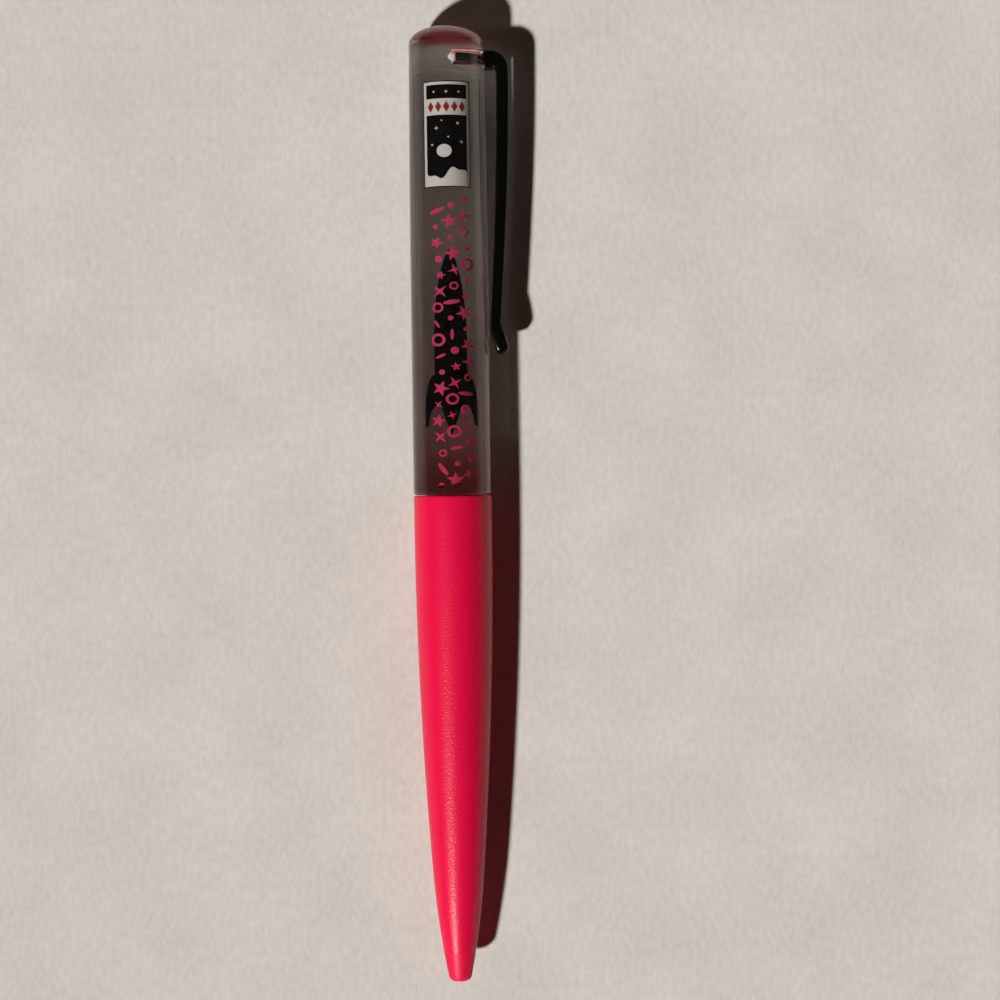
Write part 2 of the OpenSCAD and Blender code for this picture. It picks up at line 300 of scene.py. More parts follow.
class NodeTree:
    """A node tree, and short ways to add nodes to it."""

    def __init__(self, tree: bpy.types.NodeTree) -> None:
        """Keeps the tree."""
        self.tree = tree

    def feed(self, target: Socket, value: object) -> None:
        """Gives an input its value.

        Args:
            target: The input.
            value: Another node's output, which is linked, or a plain value, which is set.
        """
        if isinstance(value, Socket):
            self.tree.links.new(value, target)
        else:
            target.default_value = value

    def add(self, kind: str, inputs: dict[str | int, object] | None = None,
            **settings: object) -> bpy.types.Node:
        """Adds a node.

        Args:
            kind: The node's type.
            inputs: Outputs or values for its inputs, by name or number.
            **settings: Its properties, which are set before its inputs.

        Returns:
            The node.
        """
        node = self.tree.nodes.new(kind)
        for key, value in settings.items():
            setattr(node, key, value)
        for key, value in (inputs or {}).items():
            self.feed(node.inputs[key], value)
        return node

    def ranged(self, value: Socket, source: Pair, target: Pair) -> Socket:
        """Maps a value from one range to another, clamped.

        Args:
            value: The value.
            source: The range that it comes in.
            target: The range that it goes out in.

        Returns:
            The mapped value.
        """
        ends = zip(("From Min", "From Max", "To Min", "To Max"), (*source, *target))
        return self.add("ShaderNodeMapRange", {"Value": value, **dict(ends)}).outputs["Result"]

    def computed(self, operation: str, *values: Socket | float) -> Socket:
        """Works out a sum, product or the like of values, which are outputs or plain numbers."""
        return self.add("ShaderNodeMath", dict(enumerate(values)), operation=operation).outputs["Value"]

    def either(self, share: Socket, first: Socket, second: Socket) -> Socket:
        """Mixes two shaders: the first where the share is 0, and the second where it is 1."""
        return self.add("ShaderNodeMixShader", {"Fac": share, 1: first, 2: second}).outputs["Shader"]

    def background(self, colour: Colour, strength: Socket | float) -> Socket:
        """Adds a background of one colour."""
        inputs = {"Color": (*colour, 1.0), "Strength": strength}
        return self.add("ShaderNodeBackground", inputs).outputs["Background"]


class Nodes(NodeTree):
    """A material's node tree with a Principled shader."""

    def __init__(self, name: str) -> None:
        """Makes the material, and finds its shader and the object's coordinates.

        Args:
            name: The material's name.
        """
        self.material = bpy.data.materials.new(name)
        self.material.use_nodes = True
        super().__init__(self.material.node_tree)
        self.shader = self.tree.nodes["Principled BSDF"]
        self.place = self.add("ShaderNodeTexCoord").outputs["Object"]

    def set(self, **sockets: object) -> None:
        """Feeds the shader's own inputs; an underscore in a name stands for a space."""
        for key, value in sockets.items():
            self.feed(self.shader.inputs[key.replace("_", " ")], value)

    def along(self) -> Socket:
        """Gives the distance along the pen."""
        return self.add("ShaderNodeSeparateXYZ", {"Vector": self.place}).outputs["Y"]

    def noise(self, scale: float, detail: float = 2.0, stretch: Triple = (1.0, 1.0, 1.0)) -> Socket:
        """Adds noise on the object's coordinates.

        Args:
            scale: Features per metre.
            detail: Octaves of detail.
            stretch: Scale along each axis.

        Returns:
            The noise's value, about 0.5 on average.
        """
        mapping = self.add("ShaderNodeMapping", {"Vector": self.place, "Scale": stretch})
        inputs = {"Vector": mapping.outputs["Vector"], "Scale": scale, "Detail": detail}
        return self.add("ShaderNodeTexNoise", inputs).outputs["Fac"]

    def mixed(self, share: Socket, first: Colour, second: Colour) -> Socket:
        """Mixes two colours by a share."""
        inputs = {"Factor": share, "A": (*first, 1.0), "B": (*second, 1.0)}
        return self.add("ShaderNodeMix", inputs, data_type="RGBA").outputs["Result"]

    def tint(self, share: Socket, colour: Colour, low: float, high: float) -> None:
        """Lets the base colour go by a share from low to high times a colour."""
        self.set(Base_Color=self.mixed(share, shade(colour, low), shade(colour, high)))

    def roughen(self, noise: Socket, roughness: float, low: float, high: float) -> None:
        """Lets the roughness go by a noise from low to high times a value."""
        self.set(Roughness=self.ranged(noise, NOISE_SPAN, (low * roughness, high * roughness)))

    def bump(self, height: Socket, depth: float, strength: float = 1.0) -> None:
        """Bumps the surface by a height of 0 to 1 times a depth in metres."""
        inputs = {"Height": height, "Distance": depth, "Strength": strength}
        self.set(Normal=self.add("ShaderNodeBump", inputs).outputs["Normal"])


@dataclass(frozen=True)
class Finish:
    """A finish of one named colour."""

    name: str
    colour: Colour

    def nodes(self) -> Nodes:
        """Builds the finish's nodes."""
        raise NotImplementedError

    def material(self) -> bpy.types.Material:
        """Gives the finish as a material."""
        return self.nodes().material


@dataclass(frozen=True)
class Moulded(Finish):
    """A moulded plastic: a colour that varies a little, and a fine grain that breaks up its gloss."""

    roughness: float
    variation: float = 0.05
    drift: float = 90.0
    drift_detail: float = 3.0
    grain: float = 6000.0
    grain_depth: float = 0.002 * MM
    gloss: float = 0.5
    gloss_range: Pair = (0.85, 1.15)

    def nodes(self) -> Nodes:
        """Builds the nodes: slow colour drift, fine roughness noise and a shallow grain.

        Returns:
            The nodes.
        """
        nodes = Nodes(self.name)
        drift = nodes.noise(self.drift, self.drift_detail)
        nodes.tint(drift, self.colour, 1.0 - self.variation, 1.0 + self.variation)
        grain = nodes.noise(self.grain)
        nodes.roughen(grain, self.roughness, *self.gloss_range)
        nodes.set(IOR=PLASTIC_IOR, Specular_IOR_Level=self.gloss)
        nodes.bump(grain, self.grain_depth)
        return nodes


@dataclass(frozen=True)
class GrainedBarrel(Finish):
    """Satin barrel plastic whose moulded grain is coarse over the taper and fine below the nose's ring."""

    roughness: float
    ring_y: float
    ring_fade: float = 0.2 * MM
    variation: float = 0.04
    drift: float = 60.0
    grain: float = 3800.0
    detail: float = 3.0
    grain_depth: float = 0.05 * MM
    nose_grain: float = 0.15
    nose_roughness: float = 0.48
    ior: float = 1.5
    gloss: float = 0.23
    inner_light: float = 0.14
    inner_depth: float = 0.9 * MM
    inner_reach: Triple = (1.0, 0.1, 0.2)

    def nodes(self) -> Nodes:
        """Builds the nodes: the grain's height fades out below the ring, and the colour drifts slightly.

        Returns:
            The nodes.
        """
        nodes = Nodes(self.name)
        drift = nodes.noise(self.drift, self.detail)
        nodes.tint(drift, self.colour, 1.0 - self.variation, 1.0 + self.variation)
        grain = nodes.noise(self.grain, self.detail)
        along = nodes.along()
        edge = (self.ring_y - self.ring_fade, self.ring_y + self.ring_fade)
        height = nodes.computed("MULTIPLY", grain, nodes.ranged(along, edge, (self.nose_grain, 1.0)))
        nodes.bump(height, self.grain_depth)
        nodes.set(Roughness=nodes.ranged(along, edge, (self.nose_roughness, self.roughness)), IOR=self.ior,
                  Specular_IOR_Level=self.gloss, Subsurface_Weight=self.inner_light,
                  Subsurface_Scale=self.inner_depth, Subsurface_Radius=self.inner_reach)
        return nodes


@dataclass(frozen=True)
class Clear(Finish):
    """A clear solid, seen through a surface where the light's speed changes by one ratio."""

    ior: float
    leak: float = 1.0
    dust: float = 700.0
    dust_detail: float = 4.0
    dust_stretch: Triple = (1.0, 0.2, 1.0)
    dust_span: Pair = (0.62, 0.8)
    dust_roughness: float = 0.03

    def nodes(self) -> Nodes:
        """Builds the nodes: full transmission with faint dust and hairlines in the gloss.

        Lamps shine straight in, so what lies inside is lit. Where their light comes out again, only the
        leak's share goes on, because the barrel is a lens that gathers the rest into a line.

        Returns:
            The nodes.
        """
        nodes = Nodes(self.name)
        dust = nodes.noise(self.dust, self.dust_detail, self.dust_stretch)
        nodes.set(Base_Color=(*self.colour, 1.0), Transmission_Weight=1.0, IOR=self.ior,
                  Roughness=nodes.ranged(dust, self.dust_span, (0.0, self.dust_roughness)))
        from_inside = nodes.add("ShaderNodeNewGeometry").outputs["Backfacing"]
        passed = nodes.ranged(from_inside, (0.0, 1.0), (self.leak, 1.0))
        straight_in = nodes.add("ShaderNodeBsdfTransparent", {"Color": passed}).outputs["BSDF"]
        to_lamp = nodes.add("ShaderNodeLightPath").outputs["Is Shadow Ray"]
        surface = nodes.either(to_lamp, nodes.shader.outputs["BSDF"], straight_in)
        nodes.feed(nodes.tree.nodes["Material Output"].inputs["Surface"], surface)
        return nodes


@dataclass(frozen=True)
class PaintedGlowEnds(Clear):
    """A clear barrel with painted pink light: its clear colour is painted pink over the dome and towards the
    joint, in place of the pink light that the plastic pipes along its wall.
    """

    # Painted pink light: its colour, where it starts and is full over the dome, and its share and fade towards
    # the joint.
    painted_glow: Colour = (1.0, 0.19, 0.21)
    painted_glow_from: float = 0.0
    painted_glow_full: float = 0.0
    painted_joint_share: float = 0.7
    painted_joint_fade: float = 22.0 * MM

    def nodes(self) -> Nodes:
        """Paints pink light into the clear colour: over the dome, and towards the joint.

        The painted pink's share near the joint falls with distance y from it as share times e to the power of -y
        / fade.

        Returns:
            The nodes.
        """
        nodes = super().nodes()
        along = nodes.along()
        dome = nodes.ranged(along, (self.painted_glow_from, self.painted_glow_full), (0.0, 1.0))
        fall = nodes.computed("EXPONENT", nodes.computed("MULTIPLY", along, -1.0 / self.painted_joint_fade))
        share = nodes.computed("MAXIMUM", dome, nodes.computed("MULTIPLY", fall, self.painted_joint_share))
        # Painted pink light: the base colour goes from clear to pink by the share.
        nodes.set(Base_Color=nodes.mixed(share, self.colour, self.painted_glow))
        return nodes


@dataclass(frozen=True)
class Ink(Finish):
    """A printed layer: matt, with the uneven cover of screen printing."""

    roughness: float = 0.6
    gloss: float = 0.1
    uneven: float = 0.12
    mottle: float = 3500.0
    mottle_detail: float = 3.0

    def nodes(self) -> Nodes:
        """Builds the nodes: a fine mottle in the ink's depth.

        Returns:
            The nodes.
        """
        nodes = Nodes(self.name)
        mottle = nodes.noise(self.mottle, self.mottle_detail)
        nodes.tint(mottle, self.colour, 1.0 - self.uneven, 1.0 + self.uneven)
        nodes.set(Roughness=self.roughness, Specular_IOR_Level=self.gloss)
        return nodes


@dataclass(frozen=True)
class Metal(Finish):
    """A turned or drawn metal with fine tool lines round the pen's axis."""

    roughness: float
    lines: float = 900.0
    line_detail: float = 3.0
    line_stretch: Triple = (1.0, 14.0, 1.0)
    line_depth: float = 0.003 * MM
    tone_range: Pair = (0.9, 1.05)
    gloss_range: Pair = (0.8, 1.25)

    def nodes(self) -> Nodes:
        """Builds the nodes: lines across the pen's length vary the colour, the roughness and the height.

        Returns:
            The nodes.
        """
        nodes = Nodes(self.name)
        lines = nodes.noise(self.lines, self.line_detail, self.line_stretch)
        nodes.tint(lines, self.colour, *self.tone_range)
        nodes.roughen(lines, self.roughness, *self.gloss_range)
        nodes.set(Metallic=1.0)
        nodes.bump(lines, self.line_depth)
        return nodes


@dataclass(frozen=True)
class Paper(Finish):
    """Uncoated paper: slow cloudiness, fine fibre mottle and a soft tooth."""

    cloud: float = 70.0
    cloud_span: Pair = (0.25, 0.75)
    fibre: float = 1300.0
    fibre_stretch: Triple = (1.0, 0.55, 1.0)
    fibre_span: Pair = (0.2, 0.8)
    fibre_share: float = 0.6
    detail: float = 5.0
    mottle: float = 0.15
    tooth_depth: float = 0.03 * MM
    tooth: float = 0.6
    roughness: float = 0.85
    gloss: float = 0.25

    def nodes(self) -> Nodes:
        """Builds the nodes: two scales of mottle mixed into the colour, and a fibre bump.

        Returns:
            The nodes.
        """
        nodes = Nodes(self.name)
        cloud = nodes.noise(self.cloud, self.detail)
        clouds = nodes.ranged(cloud, self.cloud_span, (0.0, 1.0 - self.fibre_share))
        fibre = nodes.noise(self.fibre, self.detail, self.fibre_stretch)
        fibres = nodes.ranged(fibre, self.fibre_span, (0.0, 1.0))
        share = nodes.computed("MULTIPLY_ADD", fibres, self.fibre_share, clouds)
        nodes.tint(share, self.colour, 1.0 - self.mottle, 1.0 + self.mottle)
        nodes.bump(fibre, self.tooth_depth, self.tooth)
        nodes.set(Roughness=self.roughness, Specular_IOR_Level=self.gloss)
        return nodes


# Pieces


def put_piece(name: str, points: Points, faces: Faces, materials: list[bpy.types.Material],
              slots: Faces | None = None) -> Piece:
    """Makes an object of points and faces: welds poles and seams, turns faces outwards and shades it smooth.

    Args:
        name: The piece's name.
        points: Points, in any grid shape.
        faces: Four corner numbers per face.
        materials: Materials of the piece.
        slots: Number of the material of each face, or None where there is one.

    Returns:
        The new object, at the origin.
    """
    mesh = bpy.data.meshes.new(name)
    mesh.from_pydata(points.reshape(-1, 3).tolist(), [], faces.tolist())
    for material in materials:
        mesh.materials.append(material)
    if slots is not None:
        mesh.polygons.foreach_set("material_index", slots.astype(np.int32))
    work = bmesh.new()
    work.from_mesh(mesh)
    bmesh.ops.remove_doubles(work, verts=work.verts, dist=WELD)
    bmesh.ops.recalc_face_normals(work, faces=work.faces)
    work.to_mesh(mesh)
    work.free()
    mesh.shade_smooth()
    mesh.set_sharp_from_angle(angle=SHARP_ANGLE)
    piece = bpy.data.objects.new(name, mesh)
    bpy.context.scene.collection.objects.link(piece)
    return piece


def put_rings(name: str, points: Points, finish: Finish) -> Piece:
    """Makes an object in one finish of a grid of points whose columns close into rings."""
    return put_piece(name, points, cells(*points.shape[:2], True), [finish.material()])


def mount_piece(piece: Piece, body: Body, slot: str, *nodes: str) -> Piece:
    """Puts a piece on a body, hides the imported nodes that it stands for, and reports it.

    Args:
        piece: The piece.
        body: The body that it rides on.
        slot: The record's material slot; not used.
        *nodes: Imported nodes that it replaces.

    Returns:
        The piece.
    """
    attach(piece, body.value)
    if nodes:
        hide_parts(*nodes)
    log.info("%s rides on %s, %d faces", piece.name, body.value, len(piece.data.polygons))
    return piece


def dress(node: str, finish: Finish) -> None:
    """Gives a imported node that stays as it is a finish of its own, and reports it.

    Args:
        node: The node's name.
        finish: The finish.
    """
    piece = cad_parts[node]
    piece.data.materials.clear()
    piece.data.materials.append(finish.material())
    log.info("%s keeps its packed shape", node)


# Sub-assemblies


@dataclass
class PenSizes:
    """Sizes that several sub-assemblies share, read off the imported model."""

    axis_h: float
    barrel_r: float
    dome_y: float
    nose_y: float
    film_r: float
    film_top: float
    film_low: float
    spigot_r: float
    spigot_end: float

    @property
    def clip_y(self) -> float:
        """Distance along the pen of the axis that the clip's peg and its socket share."""
        return self.dome_y - CLIP_DROP

    @classmethod
    def measured(cls) -> "PenSizes":
        """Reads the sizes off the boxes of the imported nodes.

        Returns:
            The sizes.
        """
        clear_lo, clear_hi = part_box("clear_barrel")
        film_lo, film_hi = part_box("picture_film")
        axis_h = (clear_lo.z + clear_hi.z) / 2.0
        return cls(axis_h=axis_h, barrel_r=clear_hi.z - axis_h, dome_y=clear_hi.y,
                   nose_y=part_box("lower_barrel")[0].y, film_r=film_hi.z - axis_h, film_top=film_hi.y,
                   film_low=film_lo.y, spigot_r=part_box("chamber_plug")[1].z - axis_h, spigot_end=clear_lo.y)


@dataclass
class ClearBarrel:
    """The clear moulded barrel: domed solid end, oil chamber, spigot and the clip's socket."""

    pen: PenSizes
    dome_h: float = 2.7 * MM
    dome_fullness: float = 2.2
    dome_rows: int = 49
    top_draft: float = 0.54 * MM
    draft_y: float = 25.0 * MM
    side_rows: int = 60
    end_y: float = 0.03 * MM
    edge_r: float = 0.4 * MM
    edge_steps: int = 12
    film_fit: float = 0.02 * MM
    chamber_rows: int = 40
    chamber_round: float = 1.2 * MM
    chamber_steps: int = 24
    groove_y: float = -7.0 * MM
    groove_w: float = 1.3 * MM
    groove_depth: float = 0.32 * MM
    socket_r: float = 1.22 * MM
    socket_end: float = 0.55 * MM
    socket_cone: float = 0.45 * MM
    socket_rim: float = 0.06 * MM
    socket_round: float = 0.25 * MM
    side_rings: int = 8
    round_rings: int = 5
    cone_rings: int = 4
    segments: int = 192
    patch_columns: int = 11
    patch_h: float = 4.0 * MM
    patch_rows: int = 16
    acrylic: Colour = (0.985, 0.985, 0.975)
    oil: Colour = (1.0, 0.995, 0.98)
    leak: float = 0.014
    # Where the painted pink light over the dome starts and is full, above the dome's foot.
    painted_glow_low: float = 0.15 * MM
    painted_glow_high: float = 0.8 * MM

    @property
    def dome_foot(self) -> float:
        """Distance along the pen at which the dome starts."""
        return self.pen.dome_y - self.dome_h

    def radius(self, y: Points) -> Points:
        """Outer radius: the joint's, less a sweep that grows with the square of the height past the draft."""
        share = np.maximum(y - self.draft_y, 0.0) / (self.dome_foot - self.draft_y)
        return self.pen.barrel_r - self.top_draft / 2.0 * share**2

    def outside(self) -> Points:
        """Profile of the outside, from the dome's pole to the spigot's end.

        The dome is a superellipse: r = R cos(a)^(2/n), y = foot + H sin(a)^(2/n).

        Returns:
            Rows of (radius, distance along the pen).
        """
        pen = self.pen
        angle = quarter(self.dome_rows - 1)[::-1]
        power = 2.0 / self.dome_fullness
        dome = beside((pen.barrel_r - self.top_draft / 2.0) * np.cos(angle).clip(0.0)**power,
                      self.dome_foot + self.dome_h * np.sin(angle).clip(0.0)**power)
        dome[0, 0] = 0.0
        patch_end = self.dome_foot - self.patch_h
        heights = np.concatenate([np.linspace(self.dome_foot, patch_end, self.patch_rows + 1),
                                  np.linspace(patch_end, self.draft_y, self.side_rows)[1:]])
        side = beside(self.radius(heights), heights)
        edge_c = (pen.barrel_r - self.edge_r, self.end_y + self.edge_r)
        edge = ellipse_arc(edge_c, self.edge_r, (0.0, -90.0), self.edge_steps)
        groove_r = pen.spigot_r - self.groove_depth
        low, high = self.groove_y - self.groove_w / 2.0, self.groove_y + self.groove_w / 2.0
        spigot = np.array([[pen.spigot_r, self.end_y], [pen.spigot_r, high], [groove_r, high],
                           [groove_r, low], [pen.spigot_r, low], [pen.spigot_r, pen.spigot_end]])
        return chained(dome, side, edge, spigot)

    def inside(self) -> Points:
        """Profile of the oil chamber, from the spigot's end to the pole of its rounded end.

        Returns:
            Rows of (radius, distance along the pen).
        """
        pen = self.pen
        chamber_r = pen.film_r + self.film_fit
        wall = np.concatenate([[pen.spigot_end], np.linspace(pen.film_low, pen.film_top, self.chamber_rows)])
        end_size = (chamber_r, self.chamber_round)
        end = ellipse_arc((0.0, pen.film_top), end_size, (0.0, 90.0), self.chamber_steps)
        end[-1, 0] = 0.0
        return chained(beside(chamber_r, wall), end)

    def socket(self, loop: Faces, rim: Points, first: int) -> Mesh:
        """Fills a rectangle that is left open in the side with the clip's socket.

        Seen along +X, rings of points go from the rectangle to a circle, by even shares, and each point is
        set on the barrel's side, x = sqrt(r(y)^2 - w^2) for a point w above the axis. The circle then goes in
        over a rounded rim, along the wall, round the end's corner and down a shallow cone to its middle.

        Args:
            loop: Point numbers round the rectangle.
            rim: The points themselves.
            first: Number that the first new point gets.

        Returns:
            The new points, and the faces.
        """
        axis_h, middle = self.pen.axis_h, self.pen.clip_y
        flat = beside(rim[:, 2] - axis_h, rim[:, 1] - middle)
        heading = np.arctan2(flat[:, 1], flat[:, 0])
        way = beside(np.cos(heading), np.sin(heading))
        share = np.linspace(0.0, 1.0, self.side_rings + 1)[1:, None, None]
        on_side = (1.0 - share) * flat + share * (self.socket_r + self.socket_rim) * way
        side_x = np.sqrt(self.radius(middle + on_side[..., 1])**2 - on_side[..., 0]**2)
        turn = quarter(self.round_rings)[1:]
        lip_r = self.socket_r + self.socket_rim * (1.0 - np.sin(turn))
        lip_x = side_x[-1] - self.socket_rim * (1.0 - np.cos(turn))[:, None]
        corner_r = self.socket_r - self.socket_round * (1.0 - np.cos(turn))
        corner_x = self.socket_end + self.socket_round * (1.0 - np.sin(turn))
        cone_r = np.linspace(corner_r[-1], 0.0, self.cone_rings + 1)[1:]
        cone_x = self.socket_end - self.socket_cone * (1.0 - cone_r / corner_r[-1])
        ring_r = np.concatenate([lip_r, [self.socket_r], corner_r, cone_r])
        ring_x = np.concatenate([[self.socket_end + self.socket_round], corner_x, cone_x])
        places = np.concatenate([on_side, ring_r[:, None, None] * way])
        across = np.concatenate([side_x, lip_x, np.repeat(ring_x[:, None], len(loop), axis=1)])
        points = beside(across, middle + places[..., 1], axis_h + places[..., 0])
        numbers = first + np.arange(across.size).reshape(across.shape)
        rings = [loop, *numbers]
        faces = [band(outer, inner) for outer, inner in zip(rings[:-1], rings[1:])]
        return points.reshape(-1, 3), np.concatenate(faces)

    def materials(self) -> list[bpy.types.Material]:
        """Gives the materials of the outside, with pink light painted over the dome and towards the joint, and
        of the oil-wetted wall.

        Returns:
            Both materials.
        """
        # The outside's clear colour has pink light painted into it over the dome and towards the joint.
        clear = PaintedGlowEnds("clear_acrylic", self.acrylic, PLASTIC_IOR, leak=self.leak,
                            painted_glow_from=self.dome_foot + self.painted_glow_low,
                            painted_glow_full=self.dome_foot + self.painted_glow_high)
        wetted = Clear("oil_wetted_wall", self.oil, PLASTIC_IOR / OIL_IOR)
        return [clear.material(), wetted.material()]

    def build(self) -> Piece:
        """Turns the profile, cuts the socket into the grid and gives the oil-wetted wall its own material.

        Returns:
            The piece.
        """
        outside = self.outside()
        profile = np.concatenate([outside, self.inside()])
        rows, columns = len(profile), self.segments
        points = turned(profile, self.pen.axis_h, columns).reshape(-1, 3)
        index = np.arange(rows * columns).reshape(rows, columns)
        top = int(np.argmin(np.abs(outside[:, 1] - self.dome_foot)))
        low = top + self.patch_rows
        beside_clip = columns // 4
        left, right = beside_clip - self.patch_columns, beside_clip + self.patch_columns
        keep = np.ones((rows - 1, columns), bool)
        keep[top:low, left:right] = False
        loop = np.concatenate([index[top, left:right + 1], index[top + 1:low + 1, right],
                               index[low, right - 1:left - 1:-1], index[low - 1:top:-1, left]])
        socket_points, socket_faces = self.socket(loop, points[loop], len(points))
        wet = (np.arange(rows) >= len(outside)) & (profile[:, 1] >= self.pen.film_low - WELD)
        slots = np.repeat((wet[:-1] & wet[1:])[:, None], columns, axis=1)[keep]
        piece = put_piece("clear_barrel_moulding", np.concatenate([points, socket_points]),
                          np.concatenate([cells(rows, columns, True)[keep.ravel()], socket_faces]),
                          self.materials(), np.concatenate([slots, np.zeros(len(socket_faces))]))
        piece.cycles.is_caustics_caster = True
        return mount_piece(piece, Body.UPPER, "clear_acrylic", "clear_barrel")


@dataclass
class PocketClip:
    """The black clip: peg, neck, elbow, bowed arm and flared foot, one section carried along one path."""

    pen: PenSizes
    peg_d: float = 1.95 * MM
    peg_start: float = 0.95 * MM
    peg_round: float = 0.2 * MM
    neck_x: float = 5.6 * MM
    neck_drop: float = 0.26 * MM
    neck_t: float = 2.7 * MM
    neck_round: float = 0.15 * MM
    elbow_r: float = 1.7 * MM
    arm_off: float = 2.45 * MM
    arm_t: float = 1.92 * MM
    width: float = 3.0 * MM
    length: float = 43.5 * MM
    gap: float = 0.15 * MM
    foot_l: float = 4.5 * MM
    foot_t: float = 1.6 * MM
    foot_rise: float = 1.18 * MM
    foot_curl: float = 1.35
    foot_taper: float = 0.4
    lip_swell: float = 0.5 * MM
    lip_swell_turn: float = math.radians(160.0)
    lip_round: float = 0.8 * MM
    squareness: float = 0.3
    foot_squareness: float = 0.6
    round_steps: int = 6
    shank_steps: int = 5
    elbow_steps: int = 24
    arm_steps: int = 71
    foot_steps: int = 21
    lip_steps: int = 12
    sides: int = 56
    black: Colour = (0.002, 0.002, 0.002)
    roughness: float = 0.14
    grain: float = 900.0
    grain_depth: float = 0.004 * MM
    gloss: float = 0.15

    def path(self) -> tuple[Points, int]:
        """Works out the path and the section along it.

        Rows are (x, y, thickness, width, roundness). The elbow is a quarter circle, the arm's distance from
        the barrel falls with the cosine of a quarter turn, and the foot rises by a power of its length.

        Returns:
            One row per section, and how many of the first ones look along +X.
        """
        peg_y = self.pen.clip_y
        neck_y = peg_y - self.neck_drop
        elbow_y = neck_y - self.elbow_r
        arm_x = self.pen.barrel_r + self.arm_off
        contact_x = self.pen.barrel_r + self.gap + self.foot_t / 2.0
        contact_y = peg_y - self.length + self.foot_l
        turn = quarter(self.round_steps)
        nib = self.peg_d - 2.0 * self.peg_round * (1.0 - np.sin(turn))
        nib[0] = 0.0
        peg_tip = beside(self.peg_start + self.peg_round * (1.0 - np.cos(turn)), peg_y, nib, nib, 1.0)
        shank_x = np.linspace(self.peg_start + self.peg_round, self.neck_x, self.shank_steps + 1)
        shank = beside(shank_x, peg_y, self.peg_d, self.peg_d, 1.0)
        inset = 2.0 * self.neck_round * (1.0 - np.sin(turn))
        shoulder = beside(self.neck_x + self.neck_round * (1.0 - np.cos(turn)), neck_y, self.neck_t - inset,
                          self.width - inset, self.squareness)
        bend = quarter(self.elbow_steps)
        elbow_t = self.neck_t + (self.arm_t - self.neck_t) * bend / bend[-1]
        elbow = beside(arm_x - self.elbow_r * (1.0 - np.sin(bend)), elbow_y + self.elbow_r * np.cos(bend),
                       elbow_t, self.width, self.squareness)
        t = np.linspace(0.0, 1.0, self.arm_steps + 1)[1:]
        arm = beside(contact_x + (arm_x - contact_x) * np.cos(t * TURN / 4.0),
                     elbow_y + (contact_y - elbow_y) * t, self.arm_t + (self.foot_t - self.arm_t) * t**2,
                     self.width, self.squareness)
        lip = quarter(self.lip_steps)
        down = np.concatenate([np.linspace(0.0, self.foot_l - self.lip_round, self.foot_steps + 1)[1:-1],
                               self.foot_l - self.lip_round * (1.0 - np.sin(lip))])
        full = np.concatenate([np.ones(self.foot_steps - 1), np.cos(lip)])
        full[-1] = 0.0
        reach = down / self.foot_l
        swell = self.foot_t + self.lip_swell * np.sin(self.lip_swell_turn * reach)
        foot = beside(contact_x + self.foot_rise * reach**self.foot_curl, contact_y - down, full * swell,
                      full * self.width * (1.0 - self.foot_taper * reach**2),
                      self.squareness + (self.foot_squareness - self.squareness) * reach)
        straight = len(peg_tip) + len(shank) + len(shoulder)
        return np.concatenate([peg_tip, shank[1:], shoulder, elbow[1:], arm, foot]), straight

    def build(self) -> Piece:
        """Carries the section along the path: a rounded oblong square to the path, with its width along Z.

        At angle b round the section the offset is (t/2) cos(b)^p square to the path and (w/2) sin(b)^p along
        Z, with the signs of the cosine and sine.

        Returns:
            The piece.
        """
        path, straight = self.path()
        x, y, thick, wide, power = (path[:, column:column + 1] for column in range(path.shape[1]))
        ahead = np.gradient(path[:, :2], axis=0)
        ahead[:straight] = (1.0, 0.0)
        ahead /= np.linalg.norm(ahead, axis=1, keepdims=True)
        b = np.linspace(0.0, TURN, self.sides, endpoint=False)
        off = thick / 2.0 * np.sign(np.cos(b)) * np.abs(np.cos(b))**power
        up = wide / 2.0 * np.sign(np.sin(b)) * np.abs(np.sin(b))**power
        points = beside(x - off * ahead[:, 1:], y + off * ahead[:, :1], self.pen.axis_h + up)
        finish = Moulded("gloss_black", self.black, self.roughness, grain=self.grain,
                         grain_depth=self.grain_depth, gloss=self.gloss)
        return mount_piece(put_rings("clip_moulding", points, finish), Body.CLIP, "black_plastic", "clip")


